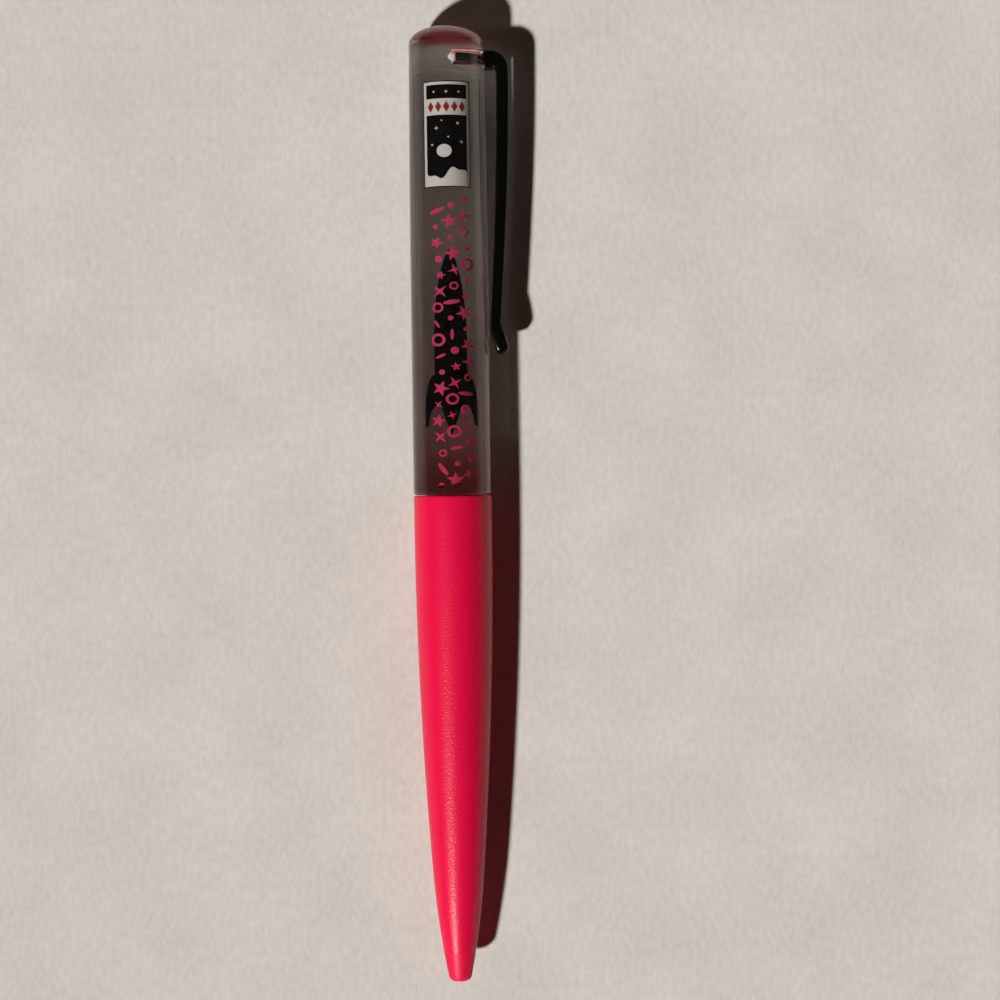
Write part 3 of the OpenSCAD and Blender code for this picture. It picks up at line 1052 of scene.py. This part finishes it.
@dataclass
class ChamberPrint:
    """Thin layers of ink that are wrapped round the chamber, just inside the film."""

    pen: PenSizes
    film_t: float = 0.12 * MM
    ink_gap: float = 0.004 * MM
    ink_t: float = 0.008 * MM
    motif_points: int = 40
    plate_rows: int = 5

    def layer_r(self, layer: Layer) -> float:
        """Outer radius of a printed layer: one ink and one gap further in than the layer above it."""
        return self.pen.film_r - self.film_t - self.ink_gap - layer * (self.ink_t + self.ink_gap)

    def wrapped(self, flat: Points, radius: float) -> Points:
        """Wraps flat places round the chamber.

        A place (u, v) goes to turn angle u / the first layer's radius, and to y = v.

        Args:
            flat: Places (u, v), in any grid shape.
            radius: Radius to wrap at.

        Returns:
            Points of the same grid shape.
        """
        angle = flat[..., 0] / self.layer_r(Layer.TOP)
        return beside(radius * np.sin(angle), flat[..., 1], self.pen.axis_h + radius * np.cos(angle))

    def sheet(self, flat: Points, top: float, thick: float, wrap: bool = False, hole: bool = False) -> Mesh:
        """Makes a thin closed sheet.

        Args:
            flat: Grid of flat places.
            top: Its outer radius.
            thick: Its thickness, inwards.
            wrap: Whether the grid's columns close into rings.
            hole: Whether a wrapped grid has a hole in its middle.

        Returns:
            The points and faces.
        """
        return slab(self.wrapped(flat, top), self.wrapped(flat, top - thick), wrap, hole)

    def plate(self, centre: Points, inner: Points, outer: Points, layer: Layer = Layer.TOP) -> Mesh:
        """Makes a print between two outlines, by even shares from the inner to the outer one.

        Args:
            centre: The place of their middle.
            inner: Inner outline round the middle, all zero where the print has no hole.
            outer: Outer outline, with as many points.
            layer: The layer that it is printed in.

        Returns:
            The points and faces.
        """
        share = np.linspace(0.0, 1.0, self.plate_rows)[:, None, None]
        flat = centre + inner + share * (outer - inner)
        hole = bool(np.ptp(inner, axis=0).max() > WELD)
        return self.sheet(flat, self.layer_r(layer), self.ink_t, True, hole)

    def motif(self, kind: Motif, half: float, turn: float) -> tuple[Points, Points]:
        """Gives the inner and outer outline of a printed shape round its own middle.

        A star's outline runs straight between points at the full and at the waist's radius in turn. The
        others are ellipses, and a ring has a circle for its inner outline.

        Args:
            kind: Which shape.
            half: Half its width.
            turn: Angle that it is turned by.

        Returns:
            Both outlines.
        """
        shape = MOTIFS[kind]
        rounded = circle(self.motif_points)
        outer = rounded * shape.size
        if shape.tips:
            reach = np.tile([1.0, shape.waist], shape.tips)
            outer = polygon(reach[:, None] * circle(2 * shape.tips), self.motif_points)
        spin = np.array([[math.cos(turn), -math.sin(turn)], [math.sin(turn), math.cos(turn)]])
        return half * shape.hole * rounded @ spin, half * outer @ spin


@dataclass
class PrintedFilm(ChamberPrint):
    """The clear film along the upper side of the chamber, with its pink print."""

    film_half: float = math.radians(75.0)
    film_columns: int = 101
    film_rows: int = 24
    film_colour: Colour = (0.99, 0.99, 0.985)
    ink: Colour = (0.39, 0.028, 0.092)
    print_low: float = 2.2 * MM
    print_turn: float = math.radians(8.0)
    row_count: int = 18
    row_pitch: float = 2.35 * MM
    column_pitch: float = 1.78 * MM
    column_rise: float = 0.33
    sway: float = 0.3 * MM
    sway_step: float = 1.1
    kind_steps: tuple[int, int] = (2, 3)
    kind_shift_rows: int = 5
    size_mean: float = 0.78
    size_swing: float = 0.22
    size_steps: Pair = (2.3, 1.7)
    turn_steps: Pair = (0.7, 1.3)

    def film(self) -> Piece:
        """Makes the clear film: a strip of a cylinder that lines the upper side of the chamber.

        Returns:
            The piece.
        """
        pen = self.pen
        half = self.film_half * self.layer_r(Layer.TOP)
        flat = flat_grid((-half, pen.film_low), (half, pen.film_top), self.film_columns, self.film_rows)
        finish = Clear("clear_film", self.film_colour, FILM_IOR / OIL_IOR)
        piece = put_piece("film_sheet", *self.sheet(flat, pen.film_r, self.film_t), [finish.material()])
        piece.cycles.is_caustics_caster = True
        return mount_piece(piece, Body.UPPER, "printed_film", "picture_film")

    def shapes(self) -> dict[Motif, list[Mesh]]:
        """Scatters the print: rising rows of three shapes, whose kind, size and turn go on in step.

        Returns:
            The shapes of each kind.
        """
        kinds = list(Motif)
        parts: dict[Motif, list[Mesh]] = {kind: [] for kind in kinds}
        middle = self.print_turn * self.layer_r(Layer.TOP)
        for row in range(self.row_count):
            sway = self.sway * math.sin(self.sway_step * row)
            for column in (-1, 0, 1):
                at = (row, column)
                kind = kinds[(int(np.dot(self.kind_steps, at)) + row // self.kind_shift_rows) % len(kinds)]
                share = self.size_mean + self.size_swing * math.cos(np.dot(self.size_steps, at))
                centre = np.array([middle + sway + column * self.column_pitch,
                                   self.print_low + (row + self.column_rise * column) * self.row_pitch])
                outlines = self.motif(kind, share * MOTIFS[kind].half, float(np.dot(self.turn_steps, at)))
                parts[kind].append(self.plate(centre, *outlines))
        return parts

    def build(self) -> None:
        """Makes the film, and the print as one piece for each kind of shape."""
        self.film()
        ink = Ink("pink_ink", self.ink).material()
        for kind, parts in self.shapes().items():
            piece = put_piece(f"film_print_{kind.value}", *joined(parts), [ink])
            mount_piece(piece, Body.UPPER, "printed_film")


@dataclass
class FramedPanel(ChamberPrint):
    """The framed panel behind the film: a night sky with hills, under a pale band with red lozenges."""

    length: float = 15.5 * MM
    chord: float = 5.4 * MM
    thick: float = 0.08 * MM
    drop: float = 0.75 * MM
    line_w: float = 0.16 * MM
    frame_w: float = 0.42 * MM
    band_high: float = 2.6 * MM
    band_low: float = 5.0 * MM
    columns: int = 41
    rows: int = 12
    stars: tuple[tuple[float, float, float, Motif], ...] = (
        (-1.3 * MM, 8.6 * MM, 0.34 * MM, Motif.SPARK), (1.4 * MM, 9.3 * MM, 0.26 * MM, Motif.STAR),
        (0.2 * MM, 7.3 * MM, 0.2 * MM, Motif.DOT), (1.9 * MM, 6.6 * MM, 0.3 * MM, Motif.SPARK),
        (-1.9 * MM, 6.2 * MM, 0.2 * MM, Motif.STAR), (-0.6 * MM, 9.7 * MM, 0.16 * MM, Motif.DOT),
        (-1.6 * MM, 13.9 * MM, 0.22 * MM, Motif.DOT), (0.0, 13.9 * MM, 0.3 * MM, Motif.SPARK),
        (1.6 * MM, 13.9 * MM, 0.22 * MM, Motif.DOT))
    moon: Pair = (-0.35 * MM, 5.3 * MM)
    moon_r: float = 0.95 * MM
    hill_h: float = 2.1 * MM
    hill_waves: tuple[Pair, ...] = ((0.75 * MM, 1.25 / MM), (0.3 * MM, 3.1 / MM))
    hill_columns: int = 33
    hill_rows: int = 6
    lozenge_count: int = 5
    lozenge_pitch: float = 1.02 * MM
    lozenge_half: Pair = (0.42 * MM, 0.8 * MM)
    plain_points: int = 24
    black: Colour = (0.0015, 0.0015, 0.0016)
    black_gloss: float = 0.03
    white: Colour = (0.44, 0.44, 0.42)
    red: Colour = (0.2, 0.012, 0.02)

    @property
    def top(self) -> float:
        """Distance along the pen of the panel's upper edge."""
        return self.pen.film_top - self.drop

    @property
    def low(self) -> float:
        """Distance along the pen of the panel's lower edge."""
        return self.top - self.length

    @property
    def reach(self) -> float:
        """Half the panel's width, round the chamber."""
        return math.asin(self.chord / 2.0 / self.layer_r(Layer.TOP)) * self.layer_r(Layer.TOP)

    def filled(self, inset: float, low: float, high: float) -> Points:
        """Gives the flat places of a rectangle that stays an inset away from the panel's sides."""
        side = self.reach - inset
        return flat_grid((-side, low), (side, high), self.columns, self.rows)

    def card(self) -> Mesh:
        """Makes the card behind the inks.

        Returns:
            The points and faces.
        """
        top = self.layer_r(Layer.CARD)
        back = self.pen.film_r - self.film_t - self.thick
        return self.sheet(self.filled(0.0, self.low, self.top), top, top - back)

    def white_field(self) -> Mesh:
        """Makes the white field that shows as the frame and the pale band, a line in from the edge."""
        flat = self.filled(self.line_w, self.low + self.line_w, self.top - self.line_w)
        return self.sheet(flat, self.layer_r(Layer.FRAME), self.ink_t)

    def sky(self) -> list[Mesh]:
        """Makes the black fields below and above the pale band.

        Returns:
            Both fields.
        """
        inset = self.line_w + self.frame_w
        spans = ((self.low + inset, self.top - self.band_low), (self.top - self.band_high, self.top - inset))
        return [self.sheet(self.filled(inset, *span), self.layer_r(Layer.SKY), self.ink_t) for span in spans]

    def night(self) -> list[Mesh]:
        """Makes the stars, the moon and the hills.

        The hills' height is an even height plus a sum of sine waves of the place across.

        Returns:
            All of them.
        """
        parts = []
        for across, up, half, kind in self.stars:
            centre = np.array([across, self.low + up])
            parts.append(self.plate(centre, *self.motif(kind, half, 0.0), Layer.NIGHT))
        disc = self.moon_r * circle(self.plain_points)
        parts.append(self.plate(np.add(self.moon, (0.0, self.low)), np.zeros_like(disc), disc, Layer.NIGHT))
        inset = self.line_w + self.frame_w
        across = np.linspace(inset - self.reach, self.reach - inset, self.hill_columns)
        waves = sum(height * np.sin(rate * across) for height, rate in self.hill_waves)
        crest = self.low + self.hill_h + waves
        ground, ridge = beside(across, self.low + inset), beside(across, crest)
        share = np.linspace(0.0, 1.0, self.hill_rows)[:, None, None]
        parts.append(self.sheet(ground + share * (ridge - ground), self.layer_r(Layer.NIGHT), self.ink_t))
        return parts

    def lozenges(self) -> list[Mesh]:
        """Makes the row of lozenges along the middle of the pale band.

        Returns:
            The lozenges.
        """
        outline = polygon(circle(4), self.plain_points) * self.lozenge_half
        middle = self.top - (self.band_low + self.band_high) / 2.0
        steps = np.arange(self.lozenge_count) - self.lozenge_count // 2
        centres = beside(steps * self.lozenge_pitch, middle)
        return [self.plate(centre, np.zeros_like(outline), outline, Layer.NIGHT) for centre in centres]

    def build(self) -> None:
        """Makes the pieces of the panel, one for the card and one for each print."""
        black = Ink("black_ink", self.black, gloss=self.black_gloss).material()
        white, red = Ink("white_ink", self.white).material(), Ink("red_ink", self.red).material()
        card = put_piece("panel_card", *self.card(), [black])
        mount_piece(card, Body.UPPER, "panel_print", "picture_panel")
        prints = {"panel_frame": ([self.white_field()], white), "panel_sky": (self.sky(), black),
                  "panel_night": (self.night(), white), "panel_lozenges": (self.lozenges(), red)}
        for name, (parts, ink) in prints.items():
            mount_piece(put_piece(name, *joined(parts), [ink]), Body.UPPER, "panel_print")


@dataclass
class FloatingFigure:
    """The flat figure that slides in the oil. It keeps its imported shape."""

    black: Colour = (0.0012, 0.0012, 0.0013)
    roughness: float = 0.5
    gloss: float = 0.03

    def build(self) -> None:
        """Dresses the figure."""
        dress("floater", Ink("black_figure", self.black, self.roughness, self.gloss))


@dataclass
class LowerBarrel:
    """The tapered barrel: a short land, one long sweep, a tighter sweep over the nose, and stepped bores."""

    pen: PenSizes
    top_y: float = -0.03 * MM
    top_round: float = 0.36 * MM
    top_steps: int = 10
    skin: float = 0.01 * MM
    land_l: float = 3.0 * MM
    side_rows: int = 110
    nose_d: float = 3.1 * MM
    nose_l: float = 15.4 * MM
    nose_sweep_r: float = 140.0 * MM
    nose_round: float = 0.9 * MM
    nose_steps: int = 16
    slope_step: float = 0.01 * MM
    ring_from_joint: float = 67.1 * MM
    ring_w: float = 0.2 * MM
    ring_depth: float = 0.018 * MM
    ring_reach: float = 2.0
    ring_rows: int = 21
    hole_r: float = 1.0 * MM
    hole_chamfer: float = 0.12 * MM
    bores: tuple[Pair, ...] = ((4.65 * MM, -12.0 * MM), (4.35 * MM, -24.0 * MM), (3.85 * MM, -35.0 * MM),
                               (3.05 * MM, -51.0 * MM), (1.75 * MM, -63.4 * MM))
    segments: int = 160
    roughness: float = 0.31

    @property
    def length(self) -> float:
        """Length from the joint to the end of the nose."""
        return -self.pen.nose_y

    def radius(self, x: Points) -> Points:
        """Outer radius at distance x from the joint.

        Two sweeps each grow with the square of the way into them, and the fine ring is a groove of the shape
        e to the power of -(distance from its middle / half its width)^2.

        Args:
            x: Distances from the joint.

        Returns:
            The radii.
        """
        drop = self.nose_l**2 / (2.0 * self.nose_sweep_r)
        sweep_r = (self.length - self.land_l)**2 / (2.0 * self.pen.barrel_r - self.nose_d - 2.0 * drop)
        long_sweep = np.maximum(x - self.land_l, 0.0)**2 / (2.0 * sweep_r)
        nose_sweep = np.maximum(x - self.length + self.nose_l, 0.0)**2 / (2.0 * self.nose_sweep_r)
        groove = self.ring_depth * np.exp(-((x - self.ring_from_joint) / (self.ring_w / 2.0))**2)
        return self.pen.barrel_r - self.skin - long_sweep - nose_sweep - groove

    def profile(self) -> Points:
        """Profile from the top's bore, over the rim, down the side, round the nose and up through the bores.

        The nose's rounding stops where it meets the chamfer of the hole, at the turn whose cosine is the
        distance from the rounding's centre to the chamfer over the rounding's radius.

        Returns:
            Rows of (radius, distance along the pen).
        """
        near_end = self.length - self.nose_round
        before, after = self.radius(near_end + self.slope_step * np.array([-1.0, 1.0])).tolist()
        slope = math.atan((before - after) / (2.0 * self.slope_step))
        mouth_r = self.hole_r + self.hole_chamfer
        cut = math.acos((mouth_r - after + self.nose_round * math.cos(slope)) / self.nose_round)
        side_end = self.length - self.nose_round * (math.sin(cut) - math.sin(slope))
        rim_c = (self.pen.barrel_r - self.skin - self.top_round, self.top_y - self.top_round)
        rim = ellipse_arc(rim_c, self.top_round, (90.0, 0.0), self.top_steps)
        ring_widths = np.linspace(-self.ring_reach, self.ring_reach, self.ring_rows)
        ring = self.ring_from_joint + self.ring_w * ring_widths
        x = np.unique(np.concatenate([np.linspace(self.land_l, side_end, self.side_rows), ring]))
        side = beside(self.radius(x), -x)
        lip_c = (side[-1, 0] - self.nose_round * math.cos(slope),
                 -self.length + self.nose_round * math.sin(cut))
        lip_turn = (-math.degrees(slope), -math.degrees(cut))
        lip = ellipse_arc(lip_c, self.nose_round, lip_turn, self.nose_steps)
        chamfer = np.array([[self.hole_r, -self.length + self.hole_chamfer]])
        inner = [[self.hole_r, self.bores[-1][1]]]
        starts = [self.top_y, *[end for _, end in self.bores[:-1]]]
        for (radius, end), start in reversed(list(zip(self.bores, starts))):
            inner += [[radius, end], [radius, start]]
        return chained(np.array(inner[-1:]), rim, side, lip, chamfer, np.array(inner))

    def build(self) -> Piece:
        """Turns the closed profile into the barrel.

        Returns:
            The piece.
        """
        finish = GrainedBarrel("satin_pink", PINK, self.roughness, -self.ring_from_joint)
        points = turned(self.profile(), self.pen.axis_h, self.segments)
        piece = put_rings("lower_barrel_moulding", points, finish)
        return mount_piece(piece, Body.LOWER, "pink_plastic", "lower_barrel")


@dataclass
class Refill:
    """The ballpoint refill: the turned brass point and the ball, and the tube, ink and grease behind them."""

    pen: PenSizes
    stem_r: float = 0.98 * MM
    collar_r: float = 1.5 * MM
    collar_l: float = 3.6 * MM
    stem_l: float = 3.0 * MM
    chamfer: float = 0.4 * MM
    point_r: float = 0.85 * MM
    cone_l: float = 1.65 * MM
    lip_r: float = 0.58 * MM
    ball_gap: float = 0.03 * MM
    seat_steps: int = 20
    ball_steps: int = 28
    segments: int = 72

    def ball_place(self) -> Pair:
        """Gives the ball's radius and the distance of its middle along the pen."""
        low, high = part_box("point_ball")
        return (high.y - low.y) / 2.0, (low.y + high.y) / 2.0

    def point(self) -> Piece:
        """Turns the point: stem, collar with a chamfer, neck, cone and the ball's round seat.

        Returns:
            The piece.
        """
        low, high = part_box("refill_point")
        ball_r, ball_y = self.ball_place()
        tube_end = high.y - self.stem_l
        collar_end = tube_end - self.collar_l
        seat_r = ball_r + self.ball_gap
        seat_turn = math.degrees(math.asin((ball_y - low.y) / seat_r))
        seat = ellipse_arc((0.0, ball_y), seat_r, (-seat_turn, 90.0), self.seat_steps)
        seat[-1, 0] = 0.0
        outline = np.array([[0.0, high.y], [self.stem_r, high.y], [self.stem_r, tube_end],
                            [self.collar_r, tube_end], [self.collar_r, collar_end + self.chamfer],
                            [self.collar_r - self.chamfer, collar_end], [self.point_r, collar_end],
                            [self.point_r, low.y + self.cone_l], [self.lip_r, low.y]])
        points = turned(chained(outline, seat), self.pen.axis_h, self.segments)
        brass = Metal("turned_brass", (0.72, 0.5, 0.2), roughness=0.25)
        piece = put_rings("refill_point_turning", points, brass)
        return mount_piece(piece, Body.REFILL, "point_brass", "refill_point")

    def ball(self) -> Piece:
        """Turns a half circle into the writing ball.

        Returns:
            The piece.
        """
        ball_r, ball_y = self.ball_place()
        arc = ellipse_arc((0.0, ball_y), ball_r, (-90.0, 90.0), self.ball_steps)
        arc[[0, -1], 0] = 0.0
        points = turned(arc, self.pen.axis_h, self.segments)
        piece = put_rings("writing_ball", points, Metal("ball_metal", (0.55, 0.56, 0.58), roughness=0.15))
        return mount_piece(piece, Body.BALL, "ball_steel", "point_ball")

    def build(self) -> None:
        """Makes the point and the ball, and dresses the pieces behind them."""
        self.point()
        self.ball()
        dress("refill_tube", Moulded("natural_tube", (0.72, 0.71, 0.64), roughness=0.35))
        dress("ink_column", Moulded("wet_ink", (0.006, 0.006, 0.012), roughness=0.12))
        dress("grease_plug", Moulded("grease", (0.6, 0.55, 0.4), roughness=0.3))


@dataclass
class TwistAction:
    """The hidden pieces between the barrels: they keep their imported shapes, apart from the spring."""

    pen: PenSizes
    white: Colour = (0.78, 0.78, 0.75)
    rubber: Colour = (0.02, 0.02, 0.02)
    steel: Colour = (0.58, 0.58, 0.6)
    wire: float = 0.5 * MM
    wire_sides: int = 14
    turns: int = 9
    turn_steps: int = 40
    dead_turns: float = 0.9
    dead_pitch: float = 1.04
    seat_gap: float = 0.02 * MM
    push_joint: str = "refill_slide"

    def spring(self) -> Piece:
        """Winds the return spring over the length of its imported box.

        The wire's middle is at angle a about the pen's axis, at one radius. Its distance along the pen
        follows a, with a pitch just over the wire's thickness in the dead turns at both ends and an even
        pitch between them. A circle goes along it, and shrinks to a point at each end.

        Returns:
            The piece.
        """
        low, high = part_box("return_spring")
        radius = (high.x - low.x - self.wire) / 2.0
        closed = self.wire * self.dead_pitch * self.dead_turns
        start, end = low.y + self.wire / 2.0, high.y - self.wire / 2.0
        angle = np.linspace(0.0, TURN * self.turns, self.turns * self.turn_steps + 1)
        angle = np.pad(angle, 1, "edge")[:, None]
        knots = TURN * np.array([0.0, self.dead_turns, self.turns - self.dead_turns, self.turns])
        along = np.interp(angle, knots, [start, start + closed, end - closed, end])
        thick = np.full_like(angle, self.wire / 2.0)
        thick[[0, -1]] = 0.0
        b = np.linspace(0.0, TURN, self.wire_sides, endpoint=False)
        from_axis = radius + thick * np.cos(b)
        points = beside(from_axis * np.cos(angle), along + thick * np.sin(b),
                        self.pen.axis_h - from_axis * np.sin(angle))
        coil = put_rings("return_spring_coil", points, Metal("drawn_wire", self.steel, roughness=0.3))
        mount_piece(coil, Body.LOWER, "spring_steel", "return_spring")
        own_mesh(coil)
        return coil

    def build(self) -> None:
        """Dresses the plug, its ring, the bush, the cam, the guide and the follower, and winds the spring."""
        for node in ("chamber_plug", "swivel_bush"):
            dress(node, Moulded(f"pink_{node}", PINK, roughness=0.4))
        for node in ("twist_cam", "guide_sleeve", "cam_follower"):
            dress(node, Moulded(f"white_{node}", self.white, roughness=0.45))
        dress("plug_ring", Moulded("black_rubber", self.rubber, roughness=0.7))
        self.spring()


@dataclass
class Studio:
    """The sheet of paper, the light and the camera."""

    pen: PenSizes
    paper: Colour = (0.647, 0.629, 0.597)
    floor_size: float = 30.0
    floor_rows: int = 3
    floor_drop: float = 0.01 * MM
    to_key: Triple = (-0.45, -0.55, 0.75)
    key_strength: float = 3.85
    key_angle: float = math.radians(3.6)
    key_colour: Colour = (1.0, 0.97, 0.92)
    to_fill: Triple = (0.7, 0.6, 0.7)
    fill_size: float = 0.9
    fill_power: float = 0.075
    fill_colour: Colour = (1.0, 0.6, 0.48)
    ambient: float = 0.018
    ambient_colour: Colour = (1.0, 0.58, 0.43)
    backdrop: Colour = (0.59, 0.55, 0.49)
    horizon: Pair = (0.0, 0.2)
    horizon_fade: Pair = (1.0, 0.088)
    bounces: int = 64
    lens_mm: float = 75.6
    sensor_mm: float = 36.0
    lens_reach: Pair = (0.01, 100.0)
    camera_above_axis: float = 309.0 * MM
    camera_place: Pair = (6.92 * MM, -0.85 * MM)
    camera_roll: float = math.radians(-0.907)

    def floor(self) -> None:
        """Lays the sheet of paper just under the pen."""
        half, rows = self.floor_size / 2.0, self.floor_rows
        flat = flat_grid((-half, -half), (half, half), rows, rows)
        points = beside(flat[..., 0], flat[..., 1], -self.floor_drop)
        finish = Paper("paper", self.paper)
        sheet = put_piece("paper_sheet", points, cells(rows, rows, False), [finish.material()])
        sheet.cycles.is_caustics_receiver = True

    def hang(self, light: bpy.types.Light, place: Triple) -> None:
        """Hangs a light so that it shines at the pen's joint.

        Args:
            light: The light.
            place: Where it hangs, or the way to it from the joint for a light that is far off.
        """
        lamp = bpy.data.objects.new(light.name, light)
        lamp.location = place
        lamp.rotation_mode = "QUATERNION"
        lamp.rotation_quaternion = Vector(place).to_track_quat("Z", "Y")
        bpy.context.scene.collection.objects.link(lamp)

    def lights(self) -> None:
        """Hangs the key light, low left of the picture, and a wide weak fill on the other side."""
        key = bpy.data.lights.new("key", "SUN")
        key.energy = self.key_strength
        key.angle = self.key_angle
        key.color = self.key_colour
        key.cycles.is_caustics_light = True
        self.hang(key, self.to_key)
        fill = bpy.data.lights.new("fill", "AREA")
        fill.shape = "DISK"
        fill.size = self.fill_size
        fill.energy = self.fill_power
        fill.color = self.fill_colour
        self.hang(fill, self.to_fill)

    def world(self) -> None:
        """Sets a dim even light, a pale horizon for what gloss and clear pieces see, and a pale backdrop."""
        world = bpy.data.worlds.new("studio")
        world.use_nodes = True
        world.node_tree.nodes.clear()
        nodes = NodeTree(world.node_tree)
        place = nodes.add("ShaderNodeTexCoord").outputs["Generated"]
        height = nodes.add("ShaderNodeSeparateXYZ", {"Vector": place}).outputs["Z"]
        rays = nodes.add("ShaderNodeLightPath").outputs
        even = nodes.background(self.ambient_colour, self.ambient)
        seen = nodes.background(self.backdrop, nodes.ranged(height, self.horizon, self.horizon_fade))
        gloss_or_clear = nodes.computed("MAXIMUM", rays["Is Glossy Ray"], rays["Is Transmission Ray"])
        around = nodes.either(gloss_or_clear, even, seen)
        behind = nodes.background(self.backdrop, 1.0)
        nodes.add("ShaderNodeOutputWorld", {"Surface": nodes.either(rays["Is Camera Ray"], around, behind)})
        bpy.context.scene.world = world

    def camera(self) -> None:
        """Sets the camera straight above the pen, turned a little, as in the photograph."""
        lens = bpy.data.cameras.new("camera")
        lens.lens = self.lens_mm
        lens.sensor_width = self.sensor_mm
        lens.clip_start, lens.clip_end = self.lens_reach
        camera = bpy.data.objects.new("camera", lens)
        camera.location = (*self.camera_place, self.pen.axis_h + self.camera_above_axis)
        camera.rotation_euler = (0.0, 0.0, self.camera_roll)
        bpy.context.scene.collection.objects.link(camera)
        bpy.context.scene.camera = camera

    def build(self) -> None:
        """Sets up the picture's surroundings and its plain colour management."""
        self.camera()
        self.floor()
        self.lights()
        self.world()
        scene = bpy.context.scene
        scene.view_settings.view_transform = "Standard"
        scene.cycles.max_bounces = self.bounces
        scene.cycles.glossy_bounces = self.bounces
        scene.cycles.transmission_bounces = self.bounces


def main() -> None:
    """Builds the studio and the pen's sub-assemblies in order."""
    logging.basicConfig(level=logging.INFO, format="%(name)s: %(message)s")
    pen = PenSizes.measured()
    Studio(pen).build()
    ClearBarrel(pen).build()
    PocketClip(pen).build()
    PrintedFilm(pen).build()
    FramedPanel(pen).build()
    FloatingFigure().build()
    LowerBarrel(pen).build()
    TwistAction(pen).build()
    Refill(pen).build()


if __name__ == "__main__":
    main()
